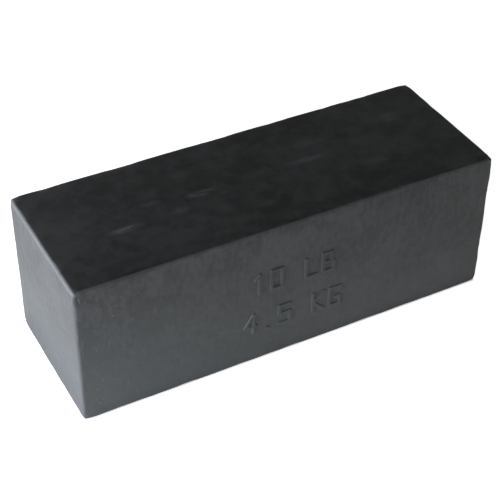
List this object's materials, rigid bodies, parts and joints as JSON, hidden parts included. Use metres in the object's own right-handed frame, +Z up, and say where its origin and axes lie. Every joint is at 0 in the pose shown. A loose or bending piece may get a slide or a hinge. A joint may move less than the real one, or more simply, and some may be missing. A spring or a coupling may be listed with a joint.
{
  "type": "diving brick",
  "caption": "Black rubber diving brick: a square-section block with rounded edges and a steel core, thrown into a pool to be fetched from its floor.",
  "frame": {"origin": "centre of the underside", "axes": "+X along the brick, +Z up, -Y out of the long side that faces the viewer"},
  "size_m": [0.216, 0.0762, 0.0762],
  "materials": {
    "casing_rubber": "compression moulded black rubber, dull and slightly bloomed",
    "cover_rubber": "moulded black rubber, dull, scuffed by the pool floor",
    "core_steel": "hot rolled, blue-grey mill scale with sawn ends",
    "pad_rubber": "moulded black rubber, matte"
  },
  "bodies": {
    "root": {"rubber_casing": "casing_rubber", "base_cover": "cover_rubber", "steel_core": "core_steel", "end_pad_left": "pad_rubber", "end_pad_right": "pad_rubber"}
  },
  "joints": []
}
